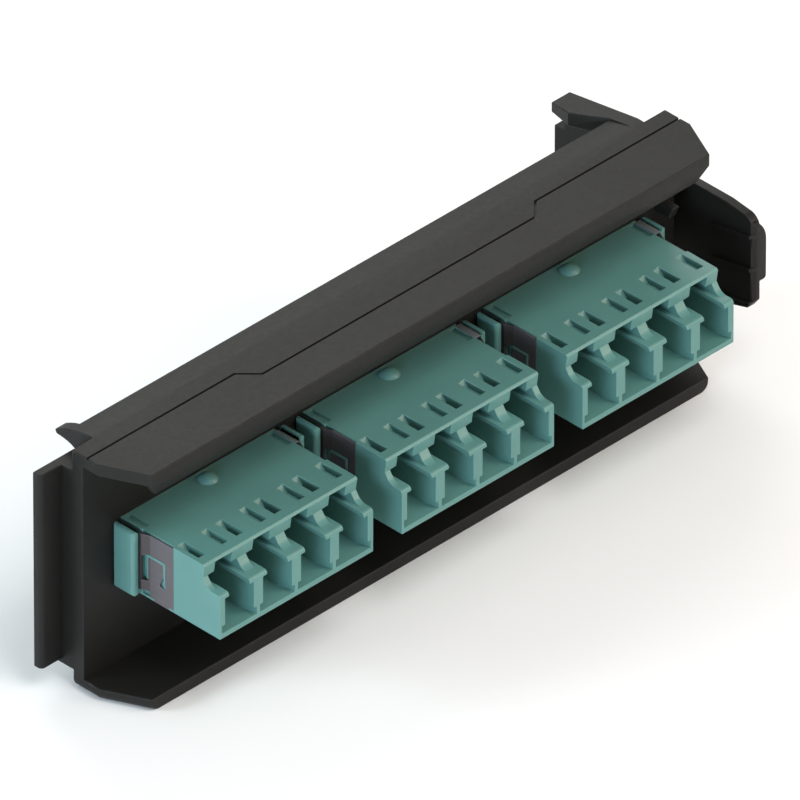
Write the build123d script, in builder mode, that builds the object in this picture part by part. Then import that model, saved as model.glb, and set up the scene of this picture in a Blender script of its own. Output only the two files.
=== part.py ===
"""Fibre adapter plate: a snap-in panel with four-port LC adapters and an end latch.

Frame: X along the plate, Y towards the back of the enclosure, Z up.
The origin is the centre of the bottom lip's underside. All sizes are in millimetres.
"""
import os

from build123d import *

os.makedirs("parts", exist_ok=True)

# Plate body
plate_length = 98.2
plate_height = 33.9
shelf_depth = 10.25
panel_thickness = 1.7
visor_thickness = 1.65
lip_thickness = 1.76
lip_end_radius = 1.2
shelf_corner_x = 2.85
shelf_corner_y = 6.05

# Stiffening brow that hangs from the visor's front edge
brow_drop = 2.1
brow_slant = 0.75
brow_thickness = 1.6
brow_end_chamfer = 1.4

# Thin line engraved in the visor's top, which steps forward in the middle
groove_width = 0.3
groove_depth = 0.3
groove_setback = 2.5
groove_step = 2.3
groove_step_x = 24.9

# Ridge and horn that run back from the top of the panel
ridge_end_inset = 3.5
ridge_reach = 3.9
ridge_drop = 0.8
ridge_bulge = 0.1
ridge_thickness = 1.5
horn_width = 1.8
horn_reach = 6.4
horn_drop = 1.8
horn_tip_bevel = 0.2
horn_tip_thickness = 0.7
horn_throat = 2.7
horn_gusset = 1.5

# Hooked arm at the right: barbed slab on top, block below it, thin wall at the bottom
arm_width = 2.0
arm_reach = 12.35
arm_head_width = 3.1
arm_barb_width = 3.8
arm_barb_setback = 3.5
arm_fall_start = 1.0
arm_drop = 1.8
arm_slab_thickness = 1.4
arm_notch_height = 2.1
arm_notch_depth = 1.5
arm_slit_height = 0.35
arm_slit_depth = 3.6
arm_block_width = 2.6
arm_block_clearance = 1.6
arm_wall = 1.25
arm_bottom = 5.2

# Rail flange behind the left end, with the channel that takes the enclosure's edge
flange_gap = 1.7
flange_thickness = 1.3
flange_overhang = 3.5
flange_bottom = 3.2
flange_top_drop = 2.9
flange_radius = 0.63
web_bottom = 2.4

# Adapters: as many as the plate's length takes
end_margin = 6.2
housing_gap = 4.75
port_count = 4
port_width = 4.75
divider = 1.5
side_wall = 0.875
housing_bottom = 12.45
housing_height = 9.35
front_reach = 16.2
half_length = 14.5
rear_wall = 0.8
cutout_clearance = 0.15
cutout_side = 0.625
top_bevel = 0.25

# Port, measured from the housing's underside and back from its nose
floor_thickness = 0.7
port_height = 7.55
foot_groove_width = 5.75
foot_groove_height = 1.05
foot_groove_depth = 2.1
rail_height = 5.5
rail_thickness = 0.65
rail_gap = 3.4
tooth_height = 7.45
tooth_setback = 2.845
tooth_lean = 0.25
latch_gap = 2.7
latch_notch_depth = 0.9
latch_roof = 0.4
nose_radius = 0.5
nose_shelf = 1.3
facet_run = 0.46
facet_drop = 0.7
scoop_sag = 0.12
window_width = 0.8
window_length = 2.7
window_offset = 1.9
window_setback = 4.2
window_ramp = 0.9
window_sink = 0.2

# Alignment sleeve, and the tube of flat facets in which it floats
sleeve_length = 6.8
sleeve_radius = 0.81
ferrule_radius = 0.625
sleeve_slit = 0.25
sleeve_clearance = 0.03
sleeve_end_play = 0.4
holder_radius = 1.3
holder_sides = 12
holder_stop = 0.4
holder_mouth_radius = 0.75
ferrule_height = 3.1

# Ears and marks on the front housing
ear_gap = 0.665
ear_thickness = 0.95
ear_length = 3.4
ear_lift = 0.4
ear_height = 9.05
ear_foot_height = 0.6
ear_foot_overlap = 0.1
ear_radius = 0.2
dome_radius = 1.25
dome_top_radius = 0.7
dome_height = 0.45
dome_setback = 1.9
sink_width = 0.8
sink_length = 3.06
sink_inset = 0.9
sink_depth = 0.25

# Steel clip
steel_thickness = 0.3
clip_length = 5.05
clip_height = 9.1
clip_play = 0.02
clip_ear_gap = 0.15
clip_bend_setback = 1.2
clip_bend_end = 0.2
clip_corner = 2.0
strap_setback = 0.75
strap_width = 2.4
strap_corner = 1.0
barb_reach = 0.8
barb_gap = 0.1
barb_rise = 0.45
barb_length = 2.5
tongue_slot = 0.35
tongue_rear_slot = 0.8
tongue_width = 2.95
tongue_height = 3.5
tongue_flare = 0.75
tongue_flare_height = 1.8
tongue_setback = 2.1
tongue_bottom = 2.6

# Latch lever at the right end: paddle, grip pad, ribs and catch
lever_gap = 1.7
lever_thickness = 1.25
lever_reach = 11.3
lever_top = 24.0
crown_radius = 1.8
crown_run = 4.5
crown_drop = 0.35
paddle_bottom = 11.6
paddle_chamfer_y = 0.9
paddle_chamfer_z = 1.2
paddle_corner_x = 0.65
paddle_corner_y = 0.35
lever_slope_run = 9.95
lever_bottom = 7.4
pad_thickness = 1.05
pad_bottom = 14.1
pad_face_height = 5.7
pad_crown_height = 2.5
pad_length = 5.2
pad_radius = 0.5
rib_height = 0.3
rib_thickness = 0.5
rib_pitch = 4.78
rib_count = 3
rib_bottom = 11.1
rib_length = 6.4
rib_rise = 1.25
catch_reach = 1.6
catch_length = 3.4
catch_height = 9.0
catch_seat = 0.35
catch_nose = 0.6
catch_overlap = 0.2

# Hinge of the lever, in the plate's lugs, and the tab that stops its travel
hinge_setback = 10.2
hinge_inset = 1.2
hub_radius = 1.9
hub_bottom = 9.0
hub_height = 13.0
leg_bend = 4.6
trunnion_radius = 1.0
trunnion_length = 1.8
pivot_clearance = 0.05
lug_radius = 2.1
lug_thickness = 2.0
lug_gap = 0.25
lug_overlap = 1.0
stop_tab_width = 3.0
stop_tab_reach = 2.9
stop_tab_foot = 2.3
stop_tab_height = 1.6
stop_tab_bottom = 21.7
stop_tab_inset = 0.35

# Places that several pieces share
port_pitch = port_width + divider
housing_width = port_count * port_width + (port_count - 1) * divider + 2 * side_wall
adapter_pitch = housing_width + housing_gap
adapter_count = int((plate_length - 2 * end_margin + housing_gap) / adapter_pitch)
adapter_x = [(i - (adapter_count - 1) / 2) * adapter_pitch for i in range(adapter_count)]
port_x = [(i - (port_count - 1) / 2) * port_pitch for i in range(port_count)]
half = plate_length / 2
panel_back = shelf_depth / 2
panel_front = panel_back - panel_thickness
shelf_front = -shelf_depth / 2
visor_bottom = plate_height - visor_thickness
housing_top = housing_bottom + housing_height
side = housing_width / 2
mating = panel_front - front_reach + half_length
port_depth = 2 * half_length - front_reach - rear_wall
ferrule_z = housing_bottom + ferrule_height
ear_inner = side + ear_gap
ear_front = panel_front - ear_length
ear_bottom = housing_bottom + ear_lift
clip_front = ear_front - clip_length
strap_front = clip_front + strap_setback
lever_inner = half + lever_gap
lever_outer = lever_inner + lever_thickness
lever_front = panel_front - lever_reach
hinge_x = half - hinge_inset
hinge_y = panel_back + hinge_setback
hub_top = hub_bottom + hub_height
ridge_back = panel_back + ridge_reach
arm_outer = half - ridge_end_inset
arm_end = panel_back + arm_reach


def block_between(low, high, mode=Mode.ADD):
    """A block between two corners, placed in the part that is being built."""
    size = [b - a for a, b in zip(low, high)]
    with Locations(tuple((a + b) / 2 for a, b in zip(low, high))):
        return Box(*size, mode=mode)


def port_shell(x0, toward):
    """One half's block with its ports; toward is -1 for the front half and +1 for the rear."""

    def at(distance):
        return mating + toward * distance

    tooth = half_length - tooth_setback
    shelf_z = housing_bottom + rail_height + rail_thickness
    tooth_z = housing_bottom + tooth_height
    floor_z = housing_bottom + floor_thickness
    rail_z = housing_bottom + rail_height
    ceiling_z = floor_z + port_height
    with BuildPart() as shell:
        # Side profile: rounded nose, small shelf, scooped step up to the tooth
        with BuildSketch(Plane.YZ.offset(x0)):
            with BuildLine():
                foot = (at(half_length), housing_bottom)
                brow = (at(half_length), shelf_z - nose_radius)
                nose_top = (at(half_length - nose_radius), shelf_z)
                shelf_end = (at(half_length - nose_shelf), shelf_z)
                facet_foot = (at(tooth + facet_run), tooth_z - facet_drop)
                Polyline((panel_front, housing_bottom), foot, brow)
                RadiusArc(brow, nose_top, -toward * nose_radius)
                Line(nose_top, shelf_end)
                SagittaArc(shelf_end, facet_foot, toward * scoop_sag)
                Polyline(
                    facet_foot,
                    (at(tooth), tooth_z),
                    (at(tooth + tooth_lean), housing_top - top_bevel),
                    (at(tooth + tooth_lean - top_bevel), housing_top),
                    (panel_front, housing_top),
                    (panel_front, housing_bottom),
                )
            make_face()
        extrude(amount=side, both=True)

        # Ports: narrower between the rails and at the top, where the plug's latch passes
        front_plane = Plane.XZ.offset(-at(half_length))
        steps = [
            (port_width, floor_z, rail_z),
            (rail_gap, rail_z, shelf_z),
            (port_width, shelf_z, tooth_z),
            (latch_gap, tooth_z, ceiling_z),
        ]
        with BuildSketch(front_plane):
            for x in port_x:
                for width, low, high in steps:
                    with Locations((x0 + x, (low + high) / 2)):
                        Rectangle(width, high - low)
        extrude(amount=toward * port_depth, mode=Mode.SUBTRACT)
        with BuildSketch(Plane.XY.offset(floor_z)):
            for x in port_x:
                Polygon(
                    (x0 + x - foot_groove_width / 2, at(half_length)),
                    (x0 + x + foot_groove_width / 2, at(half_length)),
                    (x0 + x + port_width / 2, at(half_length - foot_groove_depth)),
                    (x0 + x - port_width / 2, at(half_length - foot_groove_depth)),
                    align=None,
                )
        extrude(amount=foot_groove_height, mode=Mode.SUBTRACT)
        latch_ceiling = housing_top - latch_roof
        with BuildSketch(front_plane):
            for x in port_x:
                with Locations((x0 + x, (tooth_z + latch_ceiling) / 2)):
                    Rectangle(latch_gap, latch_ceiling - tooth_z)
        extrude(amount=toward * (tooth_setback + latch_notch_depth), mode=Mode.SUBTRACT)

        # Full width behind the shoulders that hold the plug's latch
        mouth = at(half_length - window_setback)
        with BuildSketch(Plane.XZ.offset(-mouth)):
            for x in port_x:
                with Locations((x0 + x, (tooth_z + ceiling_z) / 2)):
                    Rectangle(port_width, ceiling_z - tooth_z)
        extrude(amount=toward * (port_depth - window_setback), mode=Mode.SUBTRACT)

        # Two windows over each port, each with a ramp at its deep end
        windows = [x0 + x + sign * window_offset for x in port_x for sign in (-1, 1)]
        heel = at(half_length - window_setback - window_length)
        ramp = at(half_length - window_setback - window_length - window_ramp)
        with BuildSketch(*[Plane.YZ.offset(x) for x in windows]):
            Polygon(
                (mouth, shelf_z + window_sink),
                (mouth, housing_top + window_ramp),
                (ramp, housing_top + window_ramp),
                (ramp, housing_top),
                (heel, housing_top - window_ramp),
                (heel, shelf_z + window_sink),
                align=None,
            )
        extrude(amount=window_width / 2, both=True, mode=Mode.SUBTRACT)

        # Faceted tubes for the sleeves, each with a stop ring at its mouth
        tip = sleeve_length / 2 + sleeve_end_play + holder_stop
        tube = [
            (tip, holder_radius, tip - half_length + port_depth, Mode.ADD),
            (tip, holder_mouth_radius, tip + front_reach, Mode.SUBTRACT),
            (tip - holder_stop, sleeve_radius + sleeve_clearance, tip + front_reach, Mode.SUBTRACT),
        ]
        for start, radius, length, mode in tube:
            with BuildSketch(Plane.XZ.offset(-at(start))):
                with Locations(*[(x0 + x, ferrule_z) for x in port_x]):
                    RegularPolygon(radius, holder_sides, major_radius=False)
            extrude(amount=toward * length, mode=mode)
    return shell.part


# Plate body: C section, trimmed in plan so that both shelves lose their front corners
with BuildPart() as adapter_plate:
    with BuildSketch(Plane.YZ):
        Polygon(
            (panel_back, 0),
            (shelf_front, 0),
            (shelf_front, lip_thickness),
            (panel_front, lip_thickness),
            (panel_front, visor_bottom),
            (shelf_front, visor_bottom),
            (shelf_front, plate_height),
            (panel_back, plate_height),
            align=None,
        )
    extrude(amount=half, both=True)
    with BuildSketch(Plane.XY):
        Polygon(
            (-half, panel_back),
            (-half, shelf_front + shelf_corner_y),
            (-half + shelf_corner_x, shelf_front),
            (half - shelf_corner_x, shelf_front),
            (half, shelf_front + shelf_corner_y),
            (half, panel_back),
            align=None,
        )
    extrude(amount=plate_height, mode=Mode.INTERSECT)
    under_edges = adapter_plate.edges().group_by(Axis.Z)[0]
    fillet(under_edges - under_edges.filter_by(Axis.X), lip_end_radius)

    # Brow with a slanted face and chamfered ends
    with BuildSketch(Plane.YZ):
        Polygon(
            (shelf_front, visor_bottom),
            (shelf_front + brow_slant, visor_bottom - brow_drop),
            (shelf_front + brow_thickness, visor_bottom - brow_drop),
            (shelf_front + brow_thickness, visor_bottom),
            align=None,
        )
    brow_end = half - shelf_corner_x
    extrude(amount=brow_end, both=True)
    with BuildSketch(Plane.XZ.offset(-shelf_front)):
        for sign in (-1, 1):
            Polygon(
                (sign * brow_end, visor_bottom),
                (sign * brow_end, visor_bottom - brow_drop),
                (sign * (brow_end - brow_end_chamfer), visor_bottom - brow_drop),
                align=None,
            )
    extrude(amount=-brow_thickness, mode=Mode.SUBTRACT)

    # Ridge with a gently falling top
    with BuildSketch(Plane.YZ):
        with BuildLine():
            crest_end = (ridge_back, plate_height - ridge_drop)
            crest = SagittaArc((panel_back, plate_height), crest_end, ridge_bulge)
            Polyline(
                crest_end,
                (ridge_back, plate_height - ridge_drop - ridge_thickness),
                (panel_back, plate_height - ridge_drop - ridge_thickness),
                (panel_back, plate_height),
            )
        make_face()
    extrude(amount=half - ridge_end_inset, both=True)

    # Left horn, from the ridge to its thin tip, with a gusset beside the flange's web
    flange_top = plate_height - flange_top_drop
    horn_tip = panel_back + horn_reach
    horn_z = plate_height - horn_drop
    with BuildSketch(Plane.YZ.offset(-half + ridge_end_inset)):
        with BuildLine():
            upper = (horn_tip - horn_tip_bevel, horn_z)
            lower = (horn_tip - horn_tip_bevel, horn_z - horn_tip_thickness)
            throat = (horn_tip - horn_throat, flange_top)
            SagittaArc((panel_back, plate_height), crest_end, ridge_bulge)
            TangentArc(crest_end, upper, tangent=crest % 1)
            Polyline(upper, (horn_tip, horn_z - horn_tip_bevel), lower)
            TangentArc(lower, throat, tangent=(-1, 0))
            Polyline(throat, (panel_back, flange_top - horn_gusset), (panel_back, plate_height))
        make_face()
    extrude(amount=horn_width)

    # Right arm, notched behind the slab, and with a slit that lets the slab spring
    slab_z = plate_height - arm_drop - arm_slab_thickness
    arm_block_bottom = housing_top + arm_block_clearance
    inner_root = arm_outer - arm_width
    with BuildSketch(Plane.XY.offset(slab_z)):
        Polygon(
            (arm_outer, panel_back),
            (arm_outer, arm_end),
            (arm_outer - arm_head_width, arm_end),
            (arm_outer - arm_barb_width, arm_end - arm_barb_setback),
            (inner_root, ridge_back),
            (inner_root, panel_back),
            align=None,
        )
    extrude(amount=plate_height - slab_z)
    with BuildSketch(Plane.XY.offset(arm_block_bottom)):
        Polygon(
            (arm_outer, panel_back),
            (arm_outer, arm_end),
            (arm_outer - arm_block_width, arm_end),
            (inner_root, ridge_back),
            (inner_root, panel_back),
            align=None,
        )
    extrude(amount=slab_z - arm_block_bottom)
    with BuildSketch(Plane.XY.offset(arm_bottom)):
        with Locations((arm_outer, panel_back)):
            Rectangle(arm_wall, arm_reach, align=(Align.MAX, Align.MIN))
    extrude(amount=arm_block_bottom - arm_bottom)
    with BuildSketch(Plane.YZ.offset(half)):
        Polygon(
            (panel_back + arm_fall_start, plate_height),
            (arm_end, plate_height - arm_drop),
            (arm_end, plate_height + arm_drop),
            (panel_back + arm_fall_start, plate_height + arm_drop),
            align=None,
        )
        with Locations((arm_end, slab_z)):
            Rectangle(arm_notch_depth, arm_notch_height, align=Align.MAX)
            Rectangle(arm_slit_depth, arm_slit_height, align=Align.MAX)
    extrude(amount=-ridge_end_inset - arm_barb_width - arm_width, mode=Mode.SUBTRACT)

    # Left rail flange on its web
    flange_front = panel_back + flange_gap
    block_between(
        (-half, panel_back, web_bottom),
        (-half + ridge_end_inset, flange_front + flange_thickness, flange_top),
    )
    block_between(
        (-half - flange_overhang, flange_front, flange_bottom),
        (-half, flange_front + flange_thickness, flange_top),
    )
    flange_edges = adapter_plate.edges().filter_by(Axis.Z).group_by(Axis.X)[0]
    fillet(flange_edges.sort_by(Axis.Y)[0], flange_radius)

    # Lugs for the lever's trunnions
    lug_reach = hinge_x - arm_outer + lug_overlap
    for z in (hub_bottom - lug_gap - lug_thickness, hub_top + lug_gap):
        with BuildSketch(Plane.XY.offset(z)):
            with Locations((hinge_x, hinge_y)):
                Circle(lug_radius)
                Rectangle(lug_reach, 2 * lug_radius, align=(Align.MAX, Align.CENTER))
        extrude(amount=lug_thickness)
    with BuildSketch(Plane.XY.offset(hub_bottom - lug_gap - lug_thickness)):
        with Locations((hinge_x, hinge_y)):
            Circle(trunnion_radius + pivot_clearance)
    extrude(amount=hub_height + 2 * (lug_gap + lug_thickness), mode=Mode.SUBTRACT)

    # Travel stop for the lever, on the panel's front
    stop_tab_top = stop_tab_bottom + stop_tab_height
    with BuildSketch(Plane.YZ.offset(half - stop_tab_inset)):
        Polygon(
            (panel_front, stop_tab_bottom),
            (panel_front - stop_tab_foot, stop_tab_bottom),
            (panel_front - stop_tab_reach, stop_tab_top),
            (panel_front, stop_tab_top),
            align=None,
        )
    extrude(amount=-stop_tab_width)

    # Cut-outs for the adapters, wide enough for the arms of their clips
    with BuildSketch(Plane.XZ.offset(-panel_back)):
        with Locations(*[(x, housing_bottom + housing_height / 2) for x in adapter_x]):
            Rectangle(2 * (side + cutout_side), housing_height + 2 * cutout_clearance)
    extrude(amount=panel_thickness, mode=Mode.SUBTRACT)

    # Engraved line
    groove_y = panel_back - groove_setback
    with BuildSketch(Plane.XY.offset(plate_height)):
        with BuildLine():
            Polyline(
                (-half - shelf_corner_x, groove_y),
                (-groove_step_x, groove_y),
                (-groove_step_x + groove_step, groove_y - groove_step),
                (groove_step_x - groove_step, groove_y - groove_step),
                (groove_step_x, groove_y),
                (half + shelf_corner_x, groove_y),
            )
        trace(line_width=groove_width)
    extrude(amount=-groove_depth, mode=Mode.SUBTRACT)

adapter_plate.part.label = "adapter_plate"
export_step(adapter_plate.part, "parts/adapter_plate.step")


# Latch lever: thin arm past the panel's end that bends in to the hub
with BuildPart() as latch_lever:
    leg_end = hinge_y - leg_bend
    lever_middle = (lever_inner + lever_outer) / 2
    with BuildSketch(Plane.XY):
        with BuildLine():
            Polyline((lever_middle, lever_front), (lever_middle, leg_end), (hinge_x, hinge_y))
        trace(line_width=lever_thickness)
        corner = (lever_inner, lever_front)
        Polygon(
            corner,
            (lever_inner + paddle_corner_x, lever_front),
            (lever_inner, lever_front + paddle_corner_y),
            align=None,
            mode=Mode.SUBTRACT,
        )
    extrude(amount=plate_height)

    # Ribs on the inner face, which rise to the front and wrap round the paddle's edge
    rib_front = lever_front + paddle_corner_y
    for i in range(rib_count):
        z = rib_bottom + i * rib_pitch
        with BuildSketch(Plane.YZ.offset(lever_inner)):
            Polygon(
                (rib_front, z),
                (rib_front + rib_length, z - rib_rise),
                (rib_front + rib_length, z - rib_rise + rib_thickness),
                (rib_front, z + rib_thickness),
                align=None,
            )
        extrude(amount=-rib_height)
        with BuildSketch(Plane.XY.offset(z)):
            Polygon(
                (lever_inner - rib_height, rib_front),
                (lever_inner + paddle_corner_x, lever_front),
                (lever_outer - rib_height, lever_front),
                (lever_outer - rib_height, rib_front),
                align=None,
            )
        extrude(amount=rib_thickness)

    # Side profile
    with BuildSketch(Plane.YZ):
        with BuildLine():
            crown_foot = (lever_front, lever_top - crown_drop - crown_radius)
            crown = (lever_front + crown_radius, lever_top - crown_drop)
            RadiusArc(crown_foot, crown, crown_radius)
            Polyline(
                crown,
                (lever_front + crown_run, lever_top),
                (panel_back, lever_top),
                (leg_end, hub_top),
                (hinge_y + hub_radius, hub_top),
                (hinge_y + hub_radius, hub_bottom),
                (leg_end, hub_bottom),
                (lever_front + paddle_chamfer_y + lever_slope_run, lever_bottom),
                (lever_front + paddle_chamfer_y, paddle_bottom - paddle_chamfer_z),
                (lever_front, paddle_bottom),
                crown_foot,
            )
        make_face()
    extrude(amount=plate_length, mode=Mode.INTERSECT)
    with BuildSketch(Plane.XY.offset(hub_bottom)):
        with Locations((hinge_x, hinge_y)):
            Circle(hub_radius)
    extrude(amount=hub_height)
    with BuildSketch(Plane.XY.offset(hub_bottom - trunnion_length)):
        with Locations((hinge_x, hinge_y)):
            Circle(trunnion_radius)
    extrude(amount=hub_height + 2 * trunnion_length)

    # Grip pad on the outer face, crowned at the top
    pad_face = lever_outer + pad_thickness
    pad_crest = pad_bottom + pad_face_height
    with BuildSketch(Plane.XZ.offset(-lever_front)):
        with BuildLine():
            Line((lever_outer, pad_bottom), (pad_face - pad_radius, pad_bottom))
            RadiusArc((pad_face - pad_radius, pad_bottom), (pad_face, pad_bottom + pad_radius), -pad_radius)
            Line((pad_face, pad_bottom + pad_radius), (pad_face, pad_crest))
            TangentArc((pad_face, pad_crest), (lever_outer, pad_crest + pad_crown_height), tangent=(0, 1))
            Line((lever_outer, pad_crest + pad_crown_height), (lever_outer, pad_bottom))
        make_face()
    extrude(amount=-pad_length)

    # Catch that snaps behind the enclosure's edge
    catch_y = panel_back + catch_seat
    with BuildSketch(Plane.XY.offset(hub_bottom + (hub_height - catch_height) / 2)):
        Polygon(
            (lever_outer - catch_overlap, catch_y),
            (lever_outer + catch_reach, catch_y),
            (lever_outer + catch_reach, catch_y + catch_nose),
            (lever_outer - catch_overlap, catch_y + catch_length),
            align=None,
        )
    extrude(amount=catch_height)

latch_lever.part.label = "latch_lever"
export_step(latch_lever.part, "parts/latch_lever.step")


for number, x0 in enumerate(adapter_x, start=1):
    # Front half, with ears that seat on the panel and recesses for the clip
    with BuildPart() as front_housing:
        add(port_shell(x0, -1))
        for sign in (-1, 1):
            ear_x = x0 + sign * (ear_inner + ear_thickness / 2)
            with BuildSketch(Plane.XY.offset(ear_bottom)):
                with Locations((ear_x, ear_front + ear_length / 2)):
                    RectangleRounded(ear_thickness, ear_length, ear_radius)
            extrude(amount=ear_height)
            foot_x = sorted((x0 + sign * (side - ear_foot_overlap), ear_x))
            block_between(
                (foot_x[0], ear_front + ear_radius, ear_bottom),
                (foot_x[1], panel_front - ear_radius, ear_bottom + ear_foot_height),
            )
            recess_x = sorted((x0 + sign * (side - steel_thickness), x0 + sign * ear_inner))
            block_between(
                (recess_x[0], clip_front - clip_play, housing_bottom + steel_thickness),
                (recess_x[1], ear_front, housing_top + steel_thickness),
                mode=Mode.SUBTRACT,
            )
            with Locations((x0 + sign * (side - sink_inset), ear_front + ear_length / 2, housing_top)):
                Box(sink_width, sink_length, 2 * sink_depth, mode=Mode.SUBTRACT)
        block_between(
            (x0 - side, strap_front - clip_play, housing_bottom),
            (x0 + side, strap_front + strap_width + clip_play, housing_bottom + steel_thickness),
            mode=Mode.SUBTRACT,
        )
        with Locations((x0, ear_front + dome_setback, housing_top)):
            Cone(dome_radius, dome_top_radius, dome_height, align=(Align.CENTER, Align.CENTER, Align.MIN))
    front_housing.part.label = f"front_housing_{number}"
    export_step(front_housing.part, f"parts/front_housing_{number}.step")

    # Rear half, which passes through the panel
    with BuildPart() as rear_housing:
        add(port_shell(x0, 1))
    rear_housing.part.label = f"rear_housing_{number}"
    export_step(rear_housing.part, f"parts/rear_housing_{number}.step")

    # Steel clip: strap under the housing, a plate on each side, and barbed arms through the panel
    with BuildPart() as steel_clip:
        clip_bottom = ear_bottom + ear_foot_height + clip_ear_gap
        plate_mid = side - steel_thickness / 2
        arm_mid = (side + ear_inner) / 2
        for sign in (-1, 1):
            with BuildSketch(Plane.XY.offset(clip_bottom)):
                with BuildLine():
                    Polyline(
                        (x0 + sign * plate_mid, clip_front),
                        (x0 + sign * plate_mid, ear_front - clip_bend_setback),
                        (x0 + sign * arm_mid, ear_front - clip_bend_end),
                        (x0 + sign * arm_mid, panel_back + barb_gap),
                        (x0 + sign * (arm_mid + barb_reach), panel_back + barb_gap + barb_rise),
                        (x0 + sign * arm_mid, panel_back + barb_length),
                    )
                trace(line_width=steel_thickness)
            extrude(amount=housing_bottom + clip_height - clip_bottom)
            plate_x = sorted((x0 + sign * side, x0 + sign * (side - steel_thickness)))
            block_between(
                (plate_x[0], clip_front, housing_bottom + steel_thickness),
                (plate_x[1], ear_front - clip_bend_setback, housing_bottom + clip_corner),
            )
            block_between(
                (plate_x[0], strap_front, housing_bottom),
                (plate_x[1], strap_front + strap_width, housing_bottom + strap_corner),
            )
            # Slot round the spring tongue
            tongue_y = ear_front - tongue_setback
            tongue_z = housing_bottom + tongue_bottom
            with BuildSketch(Plane.YZ.offset(x0 + sign * plate_mid)):
                tongue_front = tongue_y - tongue_width / 2
                tongue_rear = tongue_y + tongue_width / 2
                with BuildLine():
                    Polyline(
                        (tongue_front, tongue_z),
                        (tongue_front, tongue_z + tongue_height),
                        (tongue_rear, tongue_z + tongue_height),
                        (tongue_rear, tongue_z),
                    )
                trace(line_width=tongue_slot)
                with Locations((tongue_rear, tongue_z)):
                    Rectangle(tongue_rear_slot, tongue_height, align=(Align.CENTER, Align.MIN))
                Polygon(
                    (tongue_front, tongue_z),
                    (tongue_front, tongue_z + tongue_flare_height),
                    (tongue_front + tongue_flare, tongue_z + tongue_slot),
                    (tongue_front + tongue_flare, tongue_z),
                    align=None,
                )
            extrude(amount=ear_gap, both=True, mode=Mode.SUBTRACT)
        block_between(
            (x0 - side, strap_front, housing_bottom),
            (x0 + side, strap_front + strap_width, housing_bottom + steel_thickness),
        )
    steel_clip.part.label = f"steel_clip_{number}"
    export_step(steel_clip.part, f"parts/steel_clip_{number}.step")

    # Split sleeves, slit along the top
    for port, x in enumerate(port_x, start=1):
        with BuildPart() as sleeve:
            with BuildSketch(Plane.XZ.offset(-(mating + sleeve_length / 2))):
                with Locations((x0 + x, ferrule_z)):
                    Circle(sleeve_radius)
                    Circle(ferrule_radius, mode=Mode.SUBTRACT)
                with Locations((x0 + x, ferrule_z + sleeve_radius)):
                    Rectangle(sleeve_slit, sleeve_radius, mode=Mode.SUBTRACT)
            extrude(amount=sleeve_length)
        sleeve.part.label = f"sleeve_{number}_{port}"
        export_step(sleeve.part, f"parts/sleeve_{number}_{port}.step")
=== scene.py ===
from math import cos, radians, sin

import bmesh
import bpy
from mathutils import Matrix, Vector


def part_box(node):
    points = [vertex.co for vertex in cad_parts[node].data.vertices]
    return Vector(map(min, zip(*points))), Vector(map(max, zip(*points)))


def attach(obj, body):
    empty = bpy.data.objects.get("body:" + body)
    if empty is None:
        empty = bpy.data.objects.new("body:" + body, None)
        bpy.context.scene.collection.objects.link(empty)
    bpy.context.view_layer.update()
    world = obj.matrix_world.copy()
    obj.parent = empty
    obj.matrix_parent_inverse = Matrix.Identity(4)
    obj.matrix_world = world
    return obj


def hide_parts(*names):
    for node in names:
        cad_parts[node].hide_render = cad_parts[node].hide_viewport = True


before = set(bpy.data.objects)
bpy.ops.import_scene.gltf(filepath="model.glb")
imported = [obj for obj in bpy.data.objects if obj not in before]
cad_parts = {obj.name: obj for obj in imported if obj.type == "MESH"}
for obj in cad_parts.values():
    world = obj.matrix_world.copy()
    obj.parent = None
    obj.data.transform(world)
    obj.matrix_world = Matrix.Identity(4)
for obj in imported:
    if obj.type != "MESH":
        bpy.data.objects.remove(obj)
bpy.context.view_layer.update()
print("frame loaded:", len(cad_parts), "nodes")

mm = 0.001
near = 0.01 * mm  # closer than this is the same place
bevelSegments = 2
sharpAbove = radians(30)
smoothBelow = radians(40)


def selectOnly(piece):
    bpy.ops.object.select_all(action="DESELECT")
    piece.select_set(True)
    bpy.context.view_layer.objects.active = piece


def editAll(piece):
    selectOnly(piece)
    bpy.ops.object.mode_set(mode="EDIT")
    bpy.ops.mesh.select_all(action="SELECT")


def leaveEdit():
    bpy.ops.object.mode_set(mode="OBJECT")


def applyPlace(piece):
    selectOnly(piece)
    bpy.ops.object.transform_apply(location=True, rotation=True, scale=True)


def applyModifier(piece, kind, **settings):
    selectOnly(piece)
    modifier = piece.modifiers.new(kind.lower(), kind)
    for name, value in settings.items():
        setattr(modifier, name, value)
    bpy.ops.object.modifier_apply(modifier=modifier.name)


# Finishes. Every pattern reads Object coordinates, in metres
noiseDetail = {"wear": 3, "clouds": 3, "flow": 4, "grain": 2, "lines": 3}
wearPattern = {"scale": 700, "least": 0.25}


def startMaterial(name):
    material = bpy.data.materials.new(name)
    material.use_nodes = True
    nodes = material.node_tree.nodes
    place = nodes.new("ShaderNodeTexCoord")
    return material, nodes, material.node_tree.links, nodes["Principled BSDF"], place


def addNoise(nodes, links, source, scale, detail, stretch=None):
    noise = nodes.new("ShaderNodeTexNoise")
    noise.inputs["Scale"].default_value = scale
    noise.inputs["Detail"].default_value = detail
    if stretch:
        mapping = nodes.new("ShaderNodeMapping")
        mapping.inputs["Scale"].default_value = stretch
        links.new(source, mapping.inputs["Vector"])
        source = mapping.outputs["Vector"]
    links.new(source, noise.inputs["Vector"])
    return noise.outputs["Fac"]


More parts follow.
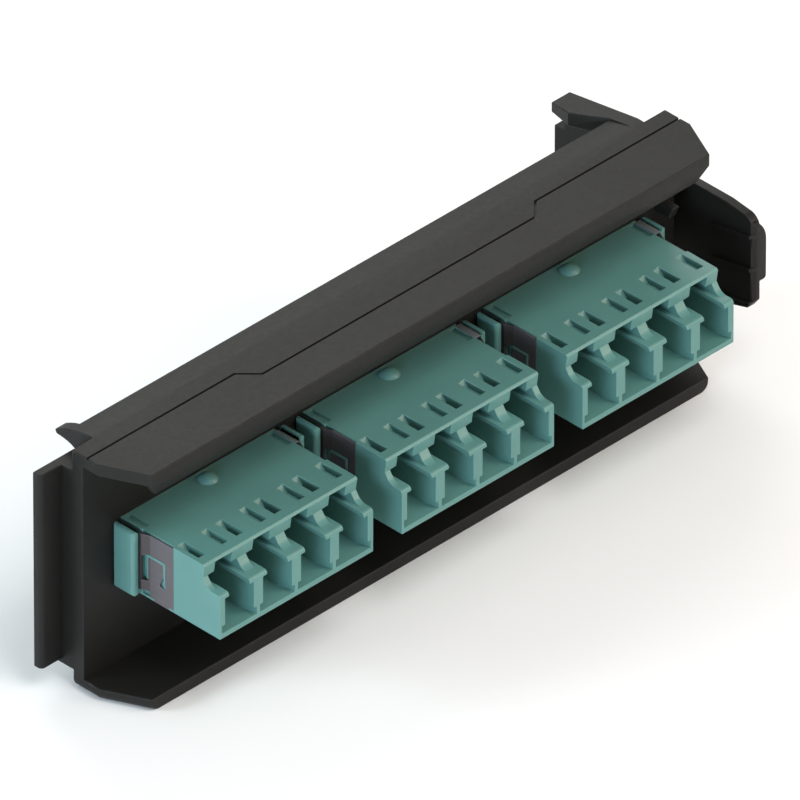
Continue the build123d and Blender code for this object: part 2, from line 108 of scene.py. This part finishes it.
# Spreads a value over low to high. A noise seldom leaves 0.3 to 0.7
def addRange(nodes, links, source, low, high, fromLow=0.3, fromHigh=0.7):
    spread = nodes.new("ShaderNodeMapRange")
    ends = {"From Min": fromLow, "From Max": fromHigh, "To Min": low, "To Max": high}
    for name, value in ends.items():
        spread.inputs[name].default_value = value
    links.new(source, spread.inputs["Value"])
    return spread.outputs["Result"]


def addMix(nodes, links, source, first, second):
    mix = nodes.new("ShaderNodeMix")
    mix.data_type = "RGBA"
    colours = [socket for socket in mix.inputs if socket.type == "RGBA"]
    for socket, colour in zip(colours, (first, second)):
        if isinstance(colour, bpy.types.NodeSocket):
            links.new(colour, socket)
        else:
            socket.default_value = colour
    links.new(source, mix.inputs[0])
    return next(socket for socket in mix.outputs if socket.type == "RGBA")


def addBump(nodes, links, shader, source, depth, strength):
    bump = nodes.new("ShaderNodeBump")
    bump.inputs["Distance"].default_value = depth
    bump.inputs["Strength"].default_value = strength
    links.new(source, bump.inputs["Height"])
    links.new(bump.outputs["Normal"], shader.inputs["Normal"])


# How worn an edge is: the roundings carry edgeWear, and a coarse noise breaks it up
def addWear(nodes, links, where, amount):
    worn = nodes.new("ShaderNodeAttribute")
    worn.attribute_name = "edgeWear"
    noise = addNoise(nodes, links, where, wearPattern["scale"], noiseDetail["wear"])
    patches = addRange(nodes, links, noise, wearPattern["least"] * amount, amount)
    both = nodes.new("ShaderNodeMath")
    both.operation = "MULTIPLY"
    links.new(worn.outputs["Fac"], both.inputs[0])
    links.new(patches, both.inputs[1])
    return both.outputs["Value"]


# Moulded plastic: clouded colour, a roughness that wanders a little, spark-eroded grain
# and paler, smoother edges. The ceramic is made the same way
def mouldedPlastic(name, look):
    material, nodes, links, shader, place = startMaterial(name)
    where = place.outputs["Object"]
    wear = addWear(nodes, links, where, look["wear"])
    cloudNoise = addNoise(nodes, links, where, look["cloudScale"], noiseDetail["clouds"])
    clouds = addRange(nodes, links, cloudNoise, 0, 1)
    body = addMix(nodes, links, clouds, look["deep"], look["pale"])
    links.new(addMix(nodes, links, wear, body, look["worn"]), shader.inputs["Base Color"])
    flow = addNoise(nodes, links, where, look["flowScale"], noiseDetail["flow"])
    rough = addRange(nodes, links, flow, *look["roughness"])
    smooth = nodes.new("ShaderNodeMix")
    links.new(wear, smooth.inputs["Factor"])
    links.new(rough, smooth.inputs["A"])
    smooth.inputs["B"].default_value = look["wornRoughness"]
    links.new(smooth.outputs["Result"], shader.inputs["Roughness"])
    grain = addNoise(nodes, links, where, look["grainScale"], noiseDetail["grain"])
    addBump(nodes, links, shader, grain, look["grainDepth"], look["grainStrength"])
    shader.inputs["Specular IOR Level"].default_value = look["specular"]
    return material


blackLook = {
    "deep": (0.0112, 0.0104, 0.0094, 1),
    "pale": (0.0142, 0.0134, 0.0122, 1),
    "cloudScale": 90,
    "flowScale": 1500,
    "roughness": (0.44, 0.50),
    "grainScale": 5200,
    "grainDepth": 0.03 * mm,
    "grainStrength": 0.22,
    "specular": 0.2,
    "wear": 0.6,
    "worn": (0.026, 0.025, 0.024, 1),
    "wornRoughness": 0.38,
}
blackPlastic = mouldedPlastic("blackPlastic", blackLook)

aquaLook = {
    "deep": (0.097, 0.240, 0.219, 1),
    "pale": (0.109, 0.263, 0.241, 1),
    "cloudScale": 140,
    "flowScale": 500,
    "roughness": (0.30, 0.38),
    "grainScale": 6500,
    "grainDepth": 0.02 * mm,
    "grainStrength": 0.15,
    "specular": 0.38,
    "wear": 0.6,
    "worn": (0.15, 0.32, 0.29, 1),
    "wornRoughness": 0.28,
}
aquaPlastic = mouldedPlastic("aquaPlastic", aquaLook)

steelLook = {
    "deep": (0.148, 0.134, 0.146, 1),
    "pale": (0.203, 0.186, 0.203, 1),
    "rollStretch": (260, 260, 9000),
    "roughness": (0.50, 0.62),
    "metallic": 0.75,
    # painted shade: the colour the strip takes behind the bend, darker where it lies in shade
    "paintedShadeAndReflection": (0.086, 0.076, 0.079, 1),
    "bendStart": -1.28 * mm,
    "bendEnd": -1.16 * mm,
    "wear": 0.7,
    "worn": (0.30, 0.28, 0.30, 1),
    "rollDepth": 0.01 * mm,
    "rollStrength": 0.2,
}


# Rolled strip: fine lines along the strip, so they change mostly with the height,
# and a painted shade, a darker colour on the strip behind the bend
def rolledSteel(name, look):
    material, nodes, links, shader, place = startMaterial(name)
    where = place.outputs["Object"]
    lines = addNoise(nodes, links, where, 1, noiseDetail["lines"], look["rollStretch"])
    body = addMix(nodes, links, lines, look["deep"], look["pale"])
    axes = nodes.new("ShaderNodeSeparateXYZ")
    links.new(where, axes.inputs["Vector"])
    # painted shade mask: 0 in front of the bend, 1 behind it, where the darker colour is mixed
    # in
    paintedLightMask = addRange(nodes, links, axes.outputs["Y"], 0, 1, look["bendStart"], look["bendEnd"])
    body = addMix(nodes, links, paintedLightMask, body, look["paintedShadeAndReflection"])
    wear = addWear(nodes, links, where, look["wear"])
    links.new(addMix(nodes, links, wear, body, look["worn"]), shader.inputs["Base Color"])
    links.new(addRange(nodes, links, lines, *look["roughness"]), shader.inputs["Roughness"])
    addBump(nodes, links, shader, lines, look["rollDepth"], look["rollStrength"])
    shader.inputs["Metallic"].default_value = look["metallic"]
    return material


springSteel = rolledSteel("springSteel", steelLook)
# painted reflection: the lip lies wholly behind the bend, so it takes an aqua-grey colour that
# stands in for the aqua housing reflected in the steel
lipLook = {**steelLook, "paintedShadeAndReflection": (0.175, 0.210, 0.215, 1), "metallic": 0.3}
lipSteel = rolledSteel("lipSteel", lipLook)

ceramicLook = {
    "deep": (0.80, 0.79, 0.75, 1),
    "pale": (0.86, 0.85, 0.82, 1),
    "cloudScale": 300,
    "flowScale": 900,
    "roughness": (0.14, 0.22),
    "grainScale": 9000,
    "grainDepth": 0.01 * mm,
    "grainStrength": 0.05,
    "specular": 0.6,
    "wear": 0.3,
    "worn": (0.88, 0.87, 0.85, 1),
    "wornRoughness": 0.12,
}
polishedCeramic = mouldedPlastic("polishedCeramic", ceramicLook)
print("finishes made")


# Copies of the CAD nodes with merged faces and rounded edges
cleanUp = {"weld": 0.002 * mm, "flat": radians(0.6)}
corner = {"blunt": radians(32), "acute": radians(112), "room": 2.4}  # room is in widths


def faceReach(face, edge):
    start, end = (v.co for v in edge.verts)
    along = (end - start).normalized()
    return max(((v.co - start) - along * (v.co - start).dot(along)).length for v in face.verts)


# Only outer corners that have room for a rounding get one
def markEdges(piece, width):
    mesh = bmesh.new()
    mesh.from_mesh(piece.data)
    weight = mesh.edges.layers.float.new("bevel_weight_edge")
    room = corner["room"] * width
    for edge in mesh.edges:
        if len(edge.link_faces) != 2 or edge.calc_length() < width / 2:
            continue
        isCorner = corner["blunt"] < edge.calc_face_angle_signed(0) < corner["acute"]
        if isCorner and min(faceReach(f, edge) for f in edge.link_faces) > room:
            edge[weight] = 1
    mesh.to_mesh(piece.data)
    mesh.free()


def finishEdges(piece, rounding, material):
    markEdges(piece, rounding["width"])
    selectOnly(piece)
    bpy.ops.object.shade_smooth_by_angle(angle=radians(rounding["smoothBelow"]))
    piece.data.materials.clear()
    for slot in range(2):  # the second one marks the roundings
        piece.data.materials.append(material)
    applyModifier(
        piece,
        "BEVEL",
        width=rounding["width"],
        segments=bevelSegments,
        limit_method="WEIGHT",
        use_clamp_overlap=False,
        harden_normals=True,
        material=1,
    )
    wear = piece.data.attributes.new("edgeWear", "FLOAT", "FACE")  # 1 on the roundings
    for face in piece.data.polygons:
        wear.data[face.index].value = face.material_index
        face.material_index = 0
    piece.data.materials.pop()


# A rounding may push a corner point past the faces it joins
def keepInBox(piece, low, high):
    for point in piece.data.vertices:
        point.co = [min(max(value, a), b) for value, a, b in zip(point.co, low, high)]


def roundedCopy(nodeName, pieceName, rounding, material, slotName, body, reshape=None):
    piece = bpy.data.objects.new(pieceName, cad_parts[nodeName].data.copy())
    bpy.context.scene.collection.objects.link(piece)
    editAll(piece)
    bpy.ops.mesh.customdata_custom_splitnormals_clear()
    bpy.ops.mesh.remove_doubles(threshold=cleanUp["weld"])
    bpy.ops.mesh.dissolve_limited(angle_limit=cleanUp["flat"])
    leaveEdit()
    if reshape:
        reshape(piece)
    finishEdges(piece, rounding, material)
    keepInBox(piece, *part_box(nodeName))
    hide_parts(nodeName)
    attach(piece, body)
    return piece


edgeRounding = {
    "plate": {"width": 0.16 * mm, "smoothBelow": 28},
    "lever": {"width": 0.14 * mm, "smoothBelow": 28},
    "housing": {"width": 0.07 * mm, "smoothBelow": 28},
    "steel": {"width": 0.03 * mm, "smoothBelow": 12},
}
adapterX = (-30 * mm, 0, 30 * mm)

# The stop tab at the plate's right end, narrowed from its right side
stopTab = {
    "rightFace": 48.75 * mm,
    "low": 21.6 * mm,
    "high": 23.4 * mm,
    "front": 3.44 * mm,
    "narrowBy": 1.75 * mm,
}


def narrowTab(piece):
    editAll(piece)
    bpy.ops.mesh.select_mode(type="VERT")
    bpy.ops.mesh.select_all(action="DESELECT")
    leaveEdit()
    for point in piece.data.vertices:
        x, y, z = point.co
        inTab = stopTab["low"] < z < stopTab["high"] and y < stopTab["front"]
        point.select = inTab and abs(x - stopTab["rightFace"]) < 2 * near
    bpy.ops.object.mode_set(mode="EDIT")
    bpy.ops.transform.translate(value=(-stopTab["narrowBy"], 0, 0))
    leaveEdit()


# The windows in the housings' tops, in mm, whose left walls lean outwards
window = {
    "portX": (-9.375, -3.125, 3.125, 9.375),
    "offset": 1.9,
    "halfWidth": 0.4,
    "y": (-8.7, -4.8),
    "foot": 20.3,
    "top": 21.8,
    "lean": 0.28,
}


def leanWindows(piece):
    walls = [
        x0 / mm + portX + side * window["offset"] - window["halfWidth"]
        for x0 in adapterX
        for portX in window["portX"]
        for side in (-1, 1)
    ]
    for point in piece.data.vertices:
        x, y, z = (value / mm for value in point.co)
        inWindow = window["y"][0] < y < window["y"][1] and z > window["foot"]
        if inWindow and min(abs(x - wall) for wall in walls) * mm < 2 * near:
            rise = (z - window["foot"]) / (window["top"] - window["foot"])
            point.co.x -= window["lean"] * rise * mm


black = (blackPlastic, "black_plastic")
aqua = (aquaPlastic, "aqua_plastic")
steel = (springSteel, "spring_steel")
roundedCopy("adapter_plate", "plateMoulding", edgeRounding["plate"], *black, "plate", narrowTab)
roundedCopy("latch_lever", "leverMoulding", edgeRounding["lever"], *black, "latch")
frontMouldings = []
for n in (1, 2, 3):
    names = (f"front_housing_{n}", f"frontMoulding{n}")
    front = roundedCopy(*names, edgeRounding["housing"], *aqua, "plate", leanWindows)
    frontMouldings.append(front)
    roundedCopy(f"rear_housing_{n}", f"rearMoulding{n}", edgeRounding["housing"], *aqua, "plate")
    roundedCopy(f"steel_clip_{n}", f"clipStrip{n}", edgeRounding["steel"], *steel, "plate")
    for port in (1, 2, 3, 4):
        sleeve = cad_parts[f"sleeve_{n}_{port}"]
        sleeve.data.materials.clear()
        sleeve.data.materials.append(polishedCeramic)
        for face in sleeve.data.polygons:
            face.material_index = 0
print("CAD copies rounded")


def addBlock(name, low, high):
    middle = [(a + b) / 2 for a, b in zip(low, high)]
    sides = [b - a for a, b in zip(low, high)]
    bpy.ops.object.select_all(action="DESELECT")
    bpy.ops.mesh.primitive_cube_add(size=1, location=middle, scale=sides)
    block = bpy.context.active_object
    block.name = name
    applyPlace(block)
    return block


def pickEdges(piece, test):
    editAll(piece)
    bpy.ops.mesh.select_mode(type="EDGE")
    bpy.ops.mesh.select_all(action="DESELECT")
    leaveEdit()
    points = piece.data.vertices
    for edge in piece.data.edges:
        start, end = (points[i].co for i in edge.vertices)
        edge.select = test(start, end)
    bpy.ops.object.mode_set(mode="EDIT")


# Cuts off what lies beyond a plane and closes the cut with one face
def cutOff(piece, place, towards):
    editAll(piece)
    bpy.ops.mesh.select_mode(type="EDGE")
    bpy.ops.mesh.bisect(plane_co=place, plane_no=towards, clear_outer=True, threshold=near / 10)
    bpy.ops.mesh.edge_face_add()
    bpy.ops.mesh.select_mode(type="FACE")
    leaveEdit()


def bevelEdges(piece, width, angle=sharpAbove):
    settings = {"width": width, "segments": bevelSegments, "angle_limit": angle}
    applyModifier(piece, "BEVEL", limit_method="ANGLE", **settings)


def smoothAndPaint(piece, material):
    selectOnly(piece)
    bpy.ops.object.shade_smooth_by_angle(angle=smoothBelow)
    piece.data.materials.append(material)


# What each adapter repeats is modelled once, at the middle one, and copied to all three
def copyTo(piece, name, x0):
    copy = bpy.data.objects.new(name, piece.data.copy())
    bpy.context.scene.collection.objects.link(copy)
    copy.location.x = x0
    applyPlace(copy)
    return copy


def addToMoulding(moulding, parts):
    for part in parts:
        part.data.attributes.new("edgeWear", "FLOAT", "FACE")
    selectOnly(moulding)
    for part in parts:
        part.select_set(True)
    bpy.ops.object.join()


# Pillow-shaped ears in place of the plain ones: round outer corners and a sloped inner top
ear = {
    "inner": 13.29 * mm,
    "outer": 14.24 * mm,
    "front": 0.025 * mm,
    "back": 3.425 * mm,
    "bottom": 12.85 * mm,
    "top": 21.9 * mm,
    "slope": 0.34 * mm,
    "corner": 0.38 * mm,
    "cornerSegments": 5,
    "edge": 0.10 * mm,
}


def addEar(side):
    inner, outer = side * ear["inner"], side * ear["outer"]
    low = (min(inner, outer), ear["front"], ear["bottom"])
    high = (max(inner, outer), ear["back"], ear["top"])
    piece = addBlock("ear", low, high)

    def onSide(a, b, x):
        return max(abs(a.x - x), abs(b.x - x)) < near

    pickEdges(piece, lambda a, b: min(a.z, b.z) > ear["top"] - near and onSide(a, b, inner))
    bpy.ops.mesh.bevel(offset=ear["slope"], segments=1, affect="EDGES")
    leaveEdit()
    pickEdges(piece, lambda a, b: onSide(a, b, outer))
    bpy.ops.mesh.bevel(offset=ear["corner"], segments=ear["cornerSegments"], affect="EDGES")
    leaveEdit()
    bevelEdges(piece, ear["edge"])
    smoothAndPaint(piece, aquaPlastic)
    return piece


# Raised rib of the housing that shows through the slot round the clip's tongue
slotRib = {
    "front": -3.71 * mm,
    "back": -0.70 * mm,
    "bottom": 15.07 * mm,
    "top": 18.70 * mm,
    "width": 0.31 * mm,
    "floor": 12.30 * mm,
    "face": 12.66 * mm,
    "edge": 0.05 * mm,
}


def addSlotRib(side):
    x = side * slotRib["face"]
    low = (x, slotRib["front"], slotRib["bottom"])
    high = (x + near, slotRib["back"], slotRib["top"])
    rib = addBlock("rib", low, high)
    editAll(rib)
    bpy.ops.mesh.remove_doubles(threshold=2 * near)  # flattens the thin block to a sheet
    bpy.ops.mesh.select_mode(type="FACE")
    bpy.ops.mesh.select_all(action="SELECT")
    bpy.ops.mesh.delete(type="ONLY_FACE")
    bpy.ops.mesh.select_all(action="SELECT")
    bpy.ops.mesh.edge_face_add()
    bpy.ops.mesh.inset(thickness=slotRib["width"])
    bpy.ops.mesh.delete(type="FACE")
    leaveEdit()
    for face in rib.data.polygons:
        face.select = face.center.z < slotRib["bottom"] + slotRib["width"]
    bpy.ops.object.mode_set(mode="EDIT")
    bpy.ops.mesh.select_mode(type="FACE")
    bpy.ops.mesh.delete(type="FACE")
    bpy.ops.mesh.select_all(action="SELECT")
    bpy.ops.mesh.normals_make_consistent(inside=False)
    leaveEdit()
    inwards = -side * (slotRib["face"] - slotRib["floor"])
    editAll(rib)
    bpy.ops.mesh.extrude_region_move(TRANSFORM_OT_translate={"value": (inwards, 0, 0)})
    bpy.ops.mesh.select_all(action="SELECT")
    bpy.ops.mesh.normals_make_consistent(inside=False)
    leaveEdit()
    bevelEdges(rib, slotRib["edge"])
    smoothAndPaint(rib, aquaPlastic)
    return rib


# Floors a little below the top in the right-hand window of each port, in mm, with x
# from the window's middle
windowFloor = {
    "x": (-0.62, 0.42),
    "y": (-8.62, -5.30),
    "z": (20.45, 21.05),
    "chamfer": 0.12 * mm,
}


def addWindowFloors():
    floors = []
    for portX in window["portX"]:
        middle = (portX + window["offset"]) * mm
        sides = zip(windowFloor["x"], windowFloor["y"], windowFloor["z"])
        low, high = ((middle + x * mm, y * mm, z * mm) for x, y, z in sides)
        block = addBlock("windowFloor", low, high)
        bevelEdges(block, windowFloor["chamfer"])
        block.data.materials.append(aquaPlastic)
        floors.append(block)
    return floors


trim = [make(side) for make in (addEar, addSlotRib) for side in (-1, 1)] + addWindowFloors()
for x0, moulding in zip(adapterX, frontMouldings):
    for side in (-1, 1):
        cutOff(moulding, (x0 + side * ear["inner"], 0, 0), (side, 0, 0))
    addToMoulding(moulding, [copyTo(part, part.name, x0) for part in trim])
for part in trim:
    bpy.data.objects.remove(part)
print("ears, slot ribs and window floors added")

# Low smooth dome on each housing's top
dome = {
    "y": 1.925 * mm,
    "foot": 21.8 * mm,
    "sunk": 0.05 * mm,
    "radius": 1.28 * mm,
    "height": 0.74 * mm,
    "rings": 48,
    "segments": 48,
}


def addDome():
    radius, height = dome["radius"], dome["height"]
    ball = (radius ** 2 + height ** 2) / (2 * height)
    middle = (0, dome["y"], dome["foot"] + height - ball)
    bpy.ops.object.select_all(action="DESELECT")
    bpy.ops.mesh.primitive_uv_sphere_add(
        segments=dome["segments"], ring_count=dome["rings"], radius=ball, location=middle
    )
    cap = bpy.context.active_object
    applyPlace(cap)
    cutOff(cap, (0, dome["y"], dome["foot"] - dome["sunk"]), (0, 0, -1))
    smoothAndPaint(cap, aquaPlastic)
    return cap


cap = addDome()
for n, x0 in enumerate(adapterX, 1):
    topDome = copyTo(cap, f"topDome{n}", x0)
    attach(topDome, "plate")
bpy.data.objects.remove(cap)
print("domes added")

# Folded steel lip on the wall beside each right ear, with x from the adapter's middle
clipLip = {
    "x": (12.16, 13.12),
    "y": (-0.15, 3.30),
    "z": (21.79, 21.89),
    "fold": 0.32 * mm,
    "foldWidth": 0.10 * mm,
    "corner": 0.15 * mm,
    "cornerSegments": 4,
    "edge": 0.03 * mm,
    "sharpAbove": radians(40),
}


def addClipLip(name, x0):
    sides = zip(clipLip["x"], clipLip["y"], clipLip["z"])
    low, high = ((x0 + x * mm, y * mm, z * mm) for x, y, z in sides)
    foldX = high[0] - clipLip["foldWidth"]
    lip = addBlock(name, low, high)
    editAll(lip)
    bpy.ops.mesh.bisect(plane_co=(foldX, 0, 0), plane_no=(1, 0, 0))
    leaveEdit()
    for face in lip.data.polygons:
        facesDown = face.normal.z < -0.9
        face.select = facesDown and face.center.x > foldX
    bpy.ops.object.mode_set(mode="EDIT")
    bpy.ops.mesh.select_mode(type="FACE")
    down = (0, 0, -clipLip["fold"])
    bpy.ops.mesh.extrude_region_move(TRANSFORM_OT_translate={"value": down})
    leaveEdit()
    pickEdges(lip, lambda a, b: abs(a.z - b.z) > near and max(a.x, b.x) < low[0] + near)
    segments = clipLip["cornerSegments"]
    bpy.ops.mesh.bevel(offset=clipLip["corner"], segments=segments, affect="EDGES")
    leaveEdit()
    bevelEdges(lip, clipLip["edge"], clipLip["sharpAbove"])
    smoothAndPaint(lip, lipSteel)
    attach(lip, "plate")


for n, x0 in enumerate(adapterX, 1):
    addClipLip(f"clipLip{n}", x0)
print("clip lips added")

# Floor, lights and camera
studio = {
    "floor": {"Base Color": (0.93, 0.93, 0.93, 1), "Roughness": 0.9, "Specular IOR Level": 0.1},
    "floorSize": 8,
    "floorGap": 0.02 * mm,
    "world": 0.44,
    "aim": (0, 0, 17 * mm),
}
# Each lamp's place, size, power and colour
lamps = {
    "key": ((-0.60, 0.40, 0.28), 0.22, 2.4, (0.72, 0.93, 1.0)),
    "top": ((0.0, -0.45, 0.85), 0.6, 4.0, (1.0, 1.0, 1.0)),
    "front": ((0.48, -0.60, 0.42), 0.38, 2.4, (1.0, 0.78, 0.56)),
    "left": ((-0.75, -0.30, 0.10), 0.4, 3.9, (0.70, 0.82, 1.0)),
    "rim": ((0.42, 0.66, 0.60), 0.6, 2.7, (0.99, 1.0, 0.98)),
}
bpy.ops.object.select_all(action="DESELECT")
bpy.ops.mesh.primitive_plane_add(size=studio["floorSize"], location=(0, 0, -studio["floorGap"]))
floor = bpy.context.active_object
floor.name = "studioFloor"
applyPlace(floor)
floorPaint = bpy.data.materials.new("floorPaint")
floorPaint.use_nodes = True
for name, value in studio["floor"].items():
    floorPaint.node_tree.nodes["Principled BSDF"].inputs[name].default_value = value
floor.data.materials.append(floorPaint)

world = bpy.data.worlds.new("studioWorld")
bpy.context.scene.world = world
world.use_nodes = True
background = world.node_tree.nodes["Background"]
background.inputs["Color"].default_value = (1, 1, 1, 1)
background.inputs["Strength"].default_value = studio["world"]
for name, (place, size, power, colour) in lamps.items():
    bpy.ops.object.light_add(type="AREA", location=place)
    lamp = bpy.context.active_object
    lamp.name = name + "Light"
    lamp.data.shape = "DISK"
    lamp.data.size = size
    lamp.data.energy = power
    lamp.data.color = colour
    towards = Vector(studio["aim"]) - lamp.location
    lamp.rotation_euler = towards.to_track_quat("-Z", "Y").to_euler()

# The photo is an isometric view with no perspective, so the lens is very long
shot = {
    "target": (2.069, 2.264, 16.856),
    "azimuth": -45,
    "elevation": 35.264,
    "acrossFrame": 93.9 * mm,
    "lens": 1700,
    "sensor": 36,
}
bpy.ops.object.camera_add()
camera = bpy.context.active_object
camera.name = "photoCamera"
camera.data.lens = shot["lens"]
camera.data.sensor_width = shot["sensor"]
distance = shot["acrossFrame"] * shot["lens"] / shot["sensor"]
azimuth, elevation = radians(shot["azimuth"]), radians(shot["elevation"])
back = Vector((sin(azimuth) * cos(elevation), -cos(azimuth) * cos(elevation), sin(elevation)))
camera.location = Vector(shot["target"]) * mm + back * distance
camera.rotation_euler = (-back).to_track_quat("-Z", "Y").to_euler()
camera.data.clip_start, camera.data.clip_end = distance / 4, distance * 3
bpy.context.scene.camera = camera
bpy.context.scene.view_settings.view_transform = "Standard"
print("studio ready")
